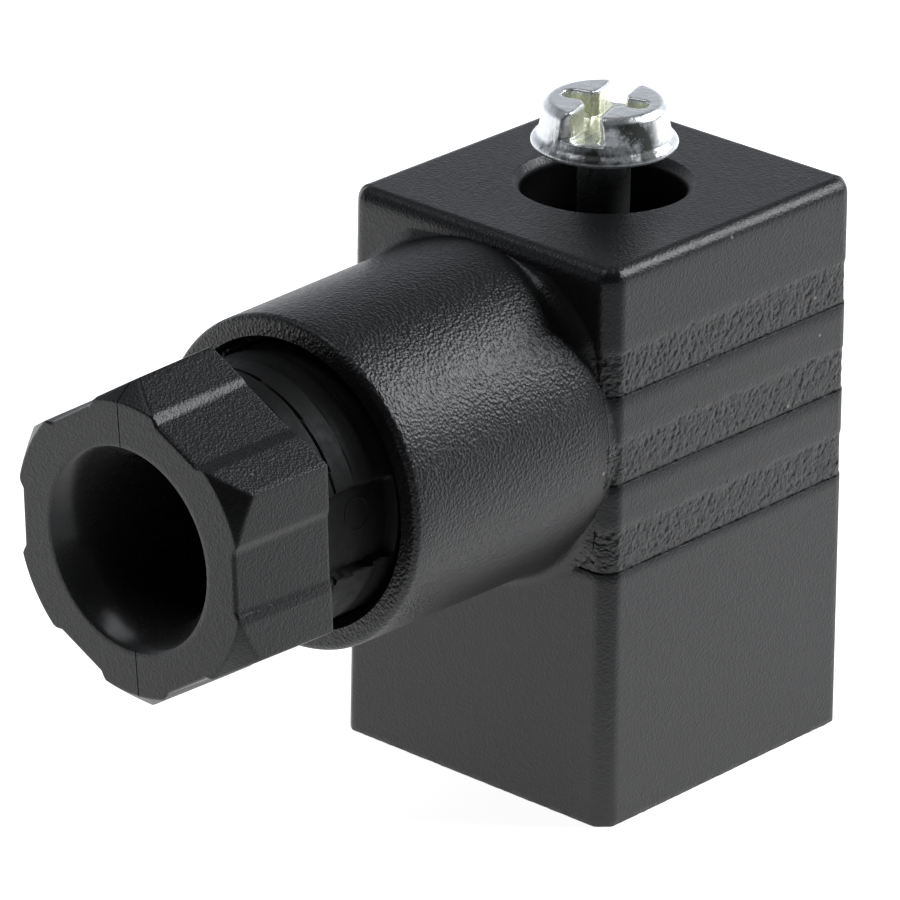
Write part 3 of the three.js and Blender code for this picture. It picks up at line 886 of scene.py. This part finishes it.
def gland_nut():
    """One skin: front face, hexagon, threaded shank, bore and bell mouth."""
    count = 360
    loops = []

    def loop(radius_at, y):
        out = []
        for a in angles(count):
            radius = radius_at(a, y) if callable(radius_at) else radius_at
            out.append((radius * math.cos(a), y, BARREL_Z + radius * math.sin(a)))
        loops.append(out)

    def near_head(a, y):
        return nut_head_radius(a, y) - 0.1

    for share in (0.0, 0.12, 0.5):
        loop(NUT_MOUTH_R + 0.03 + (NUT_FLAT_FRONT - NUT_MOUTH_R) * share, NUT_FACE)
    loop(near_head, NUT_FACE)
    face_rows = [0.0, 0.004, 0.015, 0.03, 0.045, 0.06, 0.085, 0.11, 0.14, 0.17, 0.22]
    face_rows += [0.29 + 0.07 * k for k in range(15)]
    length = NUT_BACK - NUT_FACE
    face_rows += [1.7, 2.4, 3.2, 4.0, 4.8, length - 0.2, length - 0.06, length - 0.03, length]
    for step in face_rows:
        loop(nut_head_radius, NUT_FACE + step)
    rows = 84
    for k in range(rows + 1):
        loop(nut_shank_radius, NUT_BACK + 0.001 + (NUT_END - NUT_BACK - 0.011) * k / rows)
    loop(SHANK_ROOT - 0.2, NUT_END)
    loop(NUT_BORE_R + 0.4, NUT_END)
    loop(NUT_BORE_R, NUT_END - 0.4)
    steps = 18
    for k in range(steps + 1):
        depth = NUT_MOUTH_DEPTH * (1 - k / steps)
        flare = (1 - depth / NUT_MOUTH_DEPTH) ** 3
        loop(NUT_BORE_R + (NUT_MOUTH_R - NUT_BORE_R) * flare, NUT_FACE + 0.02 + depth)
    nut = lofted("gland_nut_body", loops, closed=True)
    parting_lines(nut)
    ejector_mark(nut)
    shaded(nut, 40)
    placed(nut, "gland_nut", "nut_plastic", "gland_nut")
    nut.data.materials.append(LIT_GLOSS)
    nut.data.materials.append(SHADED_THREAD)
    lit_gloss, thread = 1, 2
    for face in nut.data.polygons:
        middle = face.center / MM
        reach = math.hypot(middle.x, middle.z - BARREL_Z)
        if reach < NUT_MOUTH_R + 0.02 and middle.y > NUT_FACE + 0.001:
            face.material_index = lit_gloss
        # The threaded shank takes the darker copy of the nylon, painted shade.
        elif middle.y > NUT_BACK + 0.002 and reach > WINDOW_FLOOR - 0.1:
            face.material_index = thread


def parting_lines(nut):
    """Hairline grooves that the two mould halves leave across the face and the top chamfer."""
    for angle, low, high in ((NUT_SEAM, 4.5, 6.68), (NUT_SEAM - 180, 4.5, 7.2)):
        a = math.radians(angle)
        middle = (low + high) / 2
        place = (middle * math.cos(a), middle * math.sin(a), 0)
        groove = slab("groove", (high - low, 0.055, 0.14), place, a)
        turn_to_face(groove, NUT_FACE)
        cut(nut, groove)
    a = math.radians(NUT_SEAM)
    slope = math.atan(NUT_CHAMFER_SLOPE)
    groove = slab("groove", (1.6, 0.055, 0.14), (0, 0, 0))
    groove.data.transform(Matrix.Rotation(-slope, 4, "Y"))
    run = 0.62
    shift = Vector((NUT_CHAMFER_R + run * math.cos(slope), 0, run * math.sin(slope))) * MM
    groove.data.transform(Matrix.Translation(shift))
    groove.data.transform(Matrix.Rotation(a, 4, "Z"))
    turn_to_face(groove, NUT_FACE)
    cut(nut, groove)


def turn_to_face(obj, y):
    """Stands a piece drawn in X and Y across the barrel's axis, its z running along +Y."""
    turn = Matrix(((1, 0, 0, 0), (0, 0, 1, y * MM), (0, 1, 0, BARREL_Z * MM), (0, 0, 0, 1)))
    obj.data.transform(turn)
    obj.data.flip_normals()


def ejector_mark(nut):
    """The thin raised ring that an ejector pin left in the window of the thread."""
    loops = []
    for a in angles(40):
        across = MARK_R * math.cos(a)
        up = MARK_R * math.sin(a)
        loop = []
        for b in angles(8):
            out = WINDOW_FLOOR + MARK_TUBE * 0.6 * math.sin(b)
            reach = 1 + MARK_TUBE / MARK_R * math.cos(b)
            turn = MARK_TURN + up * reach / WINDOW_FLOOR
            y = MARK_Y + across * reach
            loop.append((out * math.cos(turn), y, BARREL_Z + out * math.sin(turn)))
        loops.append(loop)
    added(nut, lofted("mark", loops, closed=True))


# ---------------------------------------------------------------- gland inner parts

def thrust_ring():
    """The nylon washer between the nut and the rubber sleeve, dished on its inner side."""
    low, high = RING_LOW.y, RING_HIGH.y
    outer = RING_HIGH.x
    inner = 3.6
    profile = [(inner, low, 0.15), (outer, low, 0.15), (outer, high, 0.15)]
    profile += [(4.3, high, 0.1), (inner, high - 0.3, 0.1)]
    ring = turned("thrust_ring_body", rounded(profile), 128, True)
    along_barrel(ring)
    shaded(ring)
    placed(ring, "thrust_ring", "nylon", "thrust_ring")


def cable_seal():
    """The rubber sleeve: lips in its bore and shallow grooves round it."""
    low, high = SEAL_LOW.y, SEAL_HIGH.y
    outer = SEAL_HIGH.x
    profile = [(3.7, low, 0.15), (outer, low, 0.25)]
    for k in range(3):
        y = low + 0.9 + k * 0.9
        profile += [(outer, y - 0.2, 0.08), (outer - 0.2, y, 0.08), (outer, y + 0.2, 0.08)]
    profile += [(outer, high, 0.25), (3.7, high, 0.15)]
    for k in range(3):
        y = high - 0.7 - k * 1.15
        profile += [(3.25, y + 0.25, 0.12), (3.6, y - 0.3, 0.12)]
    seal = turned("cable_seal_body", rounded(profile), 128, True)
    along_barrel(seal)
    shaded(seal)
    placed(seal, "housing", "rubber", "cable_seal")


# ---------------------------------------------------------------- fixing screw

SCREW_TIP = 0.15
SCREW_THREAD_R = 1.47
SCREW_THREAD_TOP = 8.2
SCREW_SHANK_R = 1.2
FLANGE_Z = 28.4
FLANGE_R = 3.35
HEAD_R = 2.9
HEAD_TOP = 30.55
HEAD_VOXEL = 0.045
HEAD_SOFTENING = 14
SLOT_WIDTH = 1.25
SLOT_FLOOR = 29.3
DRIVE_TURN = math.radians(19)


def screw_thread(name, radius, core, low, high, pitch, count=48, rows_each=8):
    """A threaded rod about Z with a pointed start; its thread fades out at the top."""
    loops = [ring_points(core - 0.35, low, count)]
    rows = int((high - low) / pitch * rows_each)
    for k in range(rows + 1):
        z = low + 0.1 + (high - low - 0.1) * k / rows
        fade = smooth_step(low, low + 0.8, z) * (1 - smooth_step(high - 0.6, high, z))
        start = core - 0.25 * (1 - smooth_step(low, low + 0.5, z))
        loop = []
        for a in angles(count):
            wave = thread_wave(z / pitch - a / (2 * math.pi), 0.3, 0.6)
            reach = start + (radius - core) * wave * fade
            loop.append((reach * math.cos(a), reach * math.sin(a), z))
        loops.append(loop)
    return lofted(name, loops)


def fixing_screw():
    """Cold-formed head with a flange, one open slot and a short cross recess; thin shank."""
    outline = [(0, FLANGE_Z, 0), (FLANGE_R - 0.1, FLANGE_Z, 0.2), (FLANGE_R, FLANGE_Z + 0.2, 0.15)]
    outline += [(FLANGE_R - 0.12, FLANGE_Z + 0.38, 0.12), (HEAD_R + 0.12, FLANGE_Z + 0.55, 0.2)]
    outline += [(HEAD_R + 0.02, FLANGE_Z + 0.95, 0.4), (HEAD_R - 0.1, HEAD_TOP - 0.3, 0.25)]
    outline += [(HEAD_R - 0.38, HEAD_TOP, 0.25), (0, HEAD_TOP, 0)]
    head = turned("fixing_screw_body", rounded(outline, False), 96)
    cut(head, slot_cutter())
    cut(head, wing_cutter())
    remeshed(head, HEAD_VOXEL, HEAD_SOFTENING)
    rod = screw_thread("rod", SCREW_THREAD_R, SCREW_SHANK_R, SCREW_TIP, SCREW_THREAD_TOP, 0.5)
    shank = [(0, SCREW_THREAD_TOP - 0.2), (SCREW_SHANK_R - 0.02, SCREW_THREAD_TOP - 0.2)]
    shank += [(SCREW_SHANK_R, SCREW_THREAD_TOP), (SCREW_SHANK_R, FLANGE_Z - 0.25)]
    shank += [(SCREW_SHANK_R + 0.2, FLANGE_Z + 0.15), (0, FLANGE_Z + 0.15)]
    added(rod, turned("shank", shank, 48))
    added(head, rod)
    shaded(head, 50)
    placed(head, "fixing_screw", "zinc_plated_steel", "fixing_screw")


def slot_cutter():
    """The open slot: wider at its ends, at the cross recess and at its top, as worn lugs are."""
    c, s = math.cos(DRIVE_TURN + math.pi / 2), math.sin(DRIVE_TURN + math.pi / 2)
    reach = HEAD_R + 1
    count = 64
    loops = []
    levels = ((SLOT_FLOOR, -0.06), (SLOT_FLOOR + 0.12, 0), (HEAD_TOP - 0.16, 0), (HEAD_TOP - 0.04, 0.05))
    for z, grow in levels + ((HEAD_TOP + 0.02, 0.14), (HEAD_TOP + 1, 0.6)):
        side = []
        for k in range(count + 1):
            x = reach * (2 * k / count - 1)
            width = SLOT_WIDTH / 2 + grow
            width += 0.8 * smooth_step(HEAD_R - 0.95, HEAD_R + 0.1, abs(x)) ** 2
            width += 0.22 * (1 - smooth_step(0.5, 0.95, abs(x)))
            side.append((x, width))
        outline = [(x, -w) for x, w in side] + [(x, w) for x, w in reversed(side)]
        loops.append([(c * x - s * y, s * x + c * y, z) for x, y in outline])
    return lofted("slot", loops)


def wing_cutter():
    """The cross recess's two closed wings, narrower towards their rounded ends and the floor."""
    loops = []
    for z, shrink in ((SLOT_FLOOR, 0.22), (SLOT_FLOOR + 0.25, 0.1), (HEAD_TOP + 1, -0.08)):
        outline = rounded_outline(2.05 - shrink, 0.54 - shrink, 0.3, 4, 5)
        c, s = math.cos(DRIVE_TURN), math.sin(DRIVE_TURN)
        loops.append([(c * x - s * y, s * x + c * y, z) for x, y, _, _ in outline])
    return lofted("wing", loops)


def captive_ring():
    """A nylon clip, split on one side so that it snaps over the shank."""
    low, high = CLIP_LOW.z, CLIP_HIGH.z
    outer = CLIP_HIGH.x
    profile = [(1.5, low, 0.1), (outer, low, 0.15), (outer, high, 0.15), (1.5, high, 0.1)]
    clip = turned("captive_ring_body", rounded(profile), 96, True)
    cut(clip, slab("split", (2.0, 0.5, 3), (1.9, 0, (low + high) / 2)))
    shaded(clip)
    placed(clip, "captive_ring", "nylon", "captive_ring")


def screw_seal_ring():
    """An O-ring with the fine flash line of its mould."""
    low, high = ORING_LOW.z, ORING_HIGH.z
    tube = (high - low) / 2
    centre = ORING_HIGH.x - tube
    profile = []
    for k, a in enumerate(angles(24)):
        flash = 0.03 if k in (0, 12) else 0.0
        size = tube - 0.03 + flash
        profile.append((centre + size * math.cos(a), low + tube + size * math.sin(a)))
    ring = turned("screw_seal_ring_body", profile, 96, True)
    shaded(ring, 80)
    placed(ring, "housing", "rubber", "screw_seal_ring")


# ---------------------------------------------------------------- contact carrier and terminals

def softened(node, name, width, body, slot):
    """A copy of a CAD node's shape with its edges rounded."""
    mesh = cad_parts[node].data.copy()
    obj = bpy.data.objects.new(name, mesh)
    bpy.context.scene.collection.objects.link(obj)
    grid = bmesh.new()
    grid.from_mesh(mesh)
    bmesh.ops.remove_doubles(grid, verts=grid.verts, dist=1e-6)
    bmesh.ops.dissolve_limit(
        grid,
        angle_limit=math.radians(1),
        verts=grid.verts,
        edges=grid.edges,
    )
    grid.to_mesh(mesh)
    grid.free()
    bevelled(obj, width)
    shaded(obj)
    placed(obj, body, slot, node)


def terminal_screw(label):
    """A slotted cheese-head screw with its thread."""
    node = f"terminal_screw_{label}"
    low, high = node_box(node)
    centre = (low + high) / 2
    outer = (high.x - low.x) / 2
    head = 10.95
    core = 0.98
    outline = [(0, head, 0), (outer, head, 0.08), (outer, high.z, 0.25), (0, high.z, 0)]
    screw = turned(f"{node}_body", rounded(outline, False), 64)
    turn = math.radians(30) + math.atan2(centre.y, centre.x)
    cut(screw, slab("slot", (5, 0.5, 2), (0, 0, high.z - 0.7 + 1), turn))
    bevelled(screw, 0.04)
    rod = screw_thread("rod", 1.2, core, low.z, head + 0.2, 0.45, 36, 6)
    added(screw, rod)
    screw.data.transform(Matrix.Translation(Vector((centre.x, centre.y, 0)) * MM))
    shaded(screw)
    placed(screw, node, "zinc_plated_steel", node)


# ---------------------------------------------------------------- stage

def floor():
    """A plain pale floor, lit through from below behind the object, fading towards the room."""
    corners = [(-1, -1), (1, -1), (1, 1), (-1, 1)]
    points = [(x * FLOOR_SIDE, y * FLOOR_SIDE, FLOOR_Z) for x, y in corners]
    plain = made("floor", points, [[0, 1, 2, 3]])
    look = Look("floor_paper", (0.86, 0.86, 0.86), 0.9)
    look.shader.inputs["Specular IOR Level"].default_value = 0.0
    look.shader.inputs["Emission Color"].default_value = (1, 1, 1, 1)
    toward_room = look.node("ShaderNodeVectorMath")
    toward_room.operation = "DOT_PRODUCT"
    look.feed(toward_room.inputs[0], look.place)
    look.feed(toward_room.inputs[1], GLOW_FADES_ALONG)
    reach = toward_room.outputs["Value"]
    glow = look.span(reach, GLOW_FADES_FROM * MM, GLOW_FADES_TO * MM, FLOOR_GLOW, FLOOR_GLOW_FAR)
    look.feed(look.shader.inputs["Emission Strength"], glow)
    plain.data.materials.append(look.done())


def soft_light(name, place, target, size, power):
    """A rectangular soft box aimed at a target, with its power in watts."""
    data = bpy.data.lights.new(name, "AREA")
    data.shape = "RECTANGLE"
    data.size = size[0]
    data.size_y = size[1]
    data.energy = power
    data.color = LAMP_COLOUR
    lamp = bpy.data.objects.new(name, data)
    bpy.context.scene.collection.objects.link(lamp)
    lamp.location = place
    aim = Vector(target) - Vector(place)
    lamp.rotation_euler = aim.to_track_quat("-Z", "Y").to_euler()


def world_part(tree, direction, low, high, start, end):
    """A share of the sky's light that runs from start to end along one direction."""
    ahead = tree.nodes.new("ShaderNodeTexCoord").outputs["Generated"]
    along = tree.nodes.new("ShaderNodeVectorMath")
    along.operation = "DOT_PRODUCT"
    tree.links.new(ahead, along.inputs[0])
    along.inputs[1].default_value = direction
    share = tree.nodes.new("ShaderNodeMapRange")
    share.interpolation_type = "SMOOTHSTEP"
    tree.links.new(along.outputs["Value"], share.inputs["Value"])
    for name, value in (("From Min", low), ("From Max", high), ("To Min", start), ("To Max", end)):
        share.inputs[name].default_value = value
    return share.outputs[0]


def studio():
    """A dark room in front, a pale wall behind, and two soft boxes."""
    world = bpy.data.worlds.new("studio")
    bpy.context.scene.world = world
    world.use_nodes = True
    tree = world.node_tree
    height = world_part(tree, (0, 0, 1), 0.0, 0.75, 1.0, 0.07)
    depth = world_part(tree, PALE_WALL, -0.3, 0.75, 0.06, 1.0)
    both = tree.nodes.new("ShaderNodeMath")
    both.operation = "MULTIPLY"
    tree.links.new(height, both.inputs[0])
    tree.links.new(depth, both.inputs[1])
    sky = tree.nodes["Background"]
    tree.links.new(both.outputs[0], sky.inputs["Strength"])
    sky.inputs["Color"].default_value = SKY_COLOUR
    soft_light("overhead", (-0.25, -0.2, 0.9), (0, 0, 0), (0.5, 0.5), 1.6)
    soft_light("right_back", (0.304, 0.486, 0.43), (0, 0, 0.015), (0.42, 0.36), 3.8)
    bpy.context.scene.view_settings.view_transform = "Standard"


def camera():
    """The camera at the photograph's angle, distance and small roll."""
    azimuth = math.radians(VIEW_AZIMUTH)
    elevation = math.radians(VIEW_ELEVATION)
    roll = math.radians(VIEW_ROLL)
    back = Vector((
        math.sin(azimuth) * math.cos(elevation),
        -math.cos(azimuth) * math.cos(elevation),
        math.sin(elevation),
    ))
    level = Vector((math.cos(azimuth), math.sin(azimuth), 0))
    upright = back.cross(level)
    right = level * math.cos(roll) + upright * math.sin(roll)
    up = upright * math.cos(roll) - level * math.sin(roll)
    data = bpy.data.cameras.new("camera")
    data.lens = VIEW_LENS
    data.sensor_width = SENSOR
    data.clip_start = 0.01
    eye = bpy.data.objects.new("camera", data)
    bpy.context.scene.collection.objects.link(eye)
    place = (Vector(VIEW_TARGET) + back * VIEW_DISTANCE) * MM
    axes = Matrix((right, up, back)).transposed().to_4x4()
    eye.matrix_world = Matrix.Translation(place) @ axes
    bpy.context.scene.camera = eye


camera()
studio()
floor()
housing()
gland_nut()
thrust_ring()
cable_seal()
fixing_screw()
captive_ring()
screw_seal_ring()
softened("contact_carrier", "contact_carrier_body", 0.12, "carrier", "carrier_plastic")
softened("valve_gasket", "valve_gasket_body", 0.15, "carrier", "rubber")
for label in ("1", "2", "3", "earth"):
    softened(f"contact_{label}", f"contact_{label}_body", 0.07, "carrier", "tinned_brass")
    clamp = f"wire_clamp_{label}"
    softened(clamp, f"{clamp}_body", 0.08, clamp, "tinned_brass")
    terminal_screw(label)

bpy.context.view_layer.update()
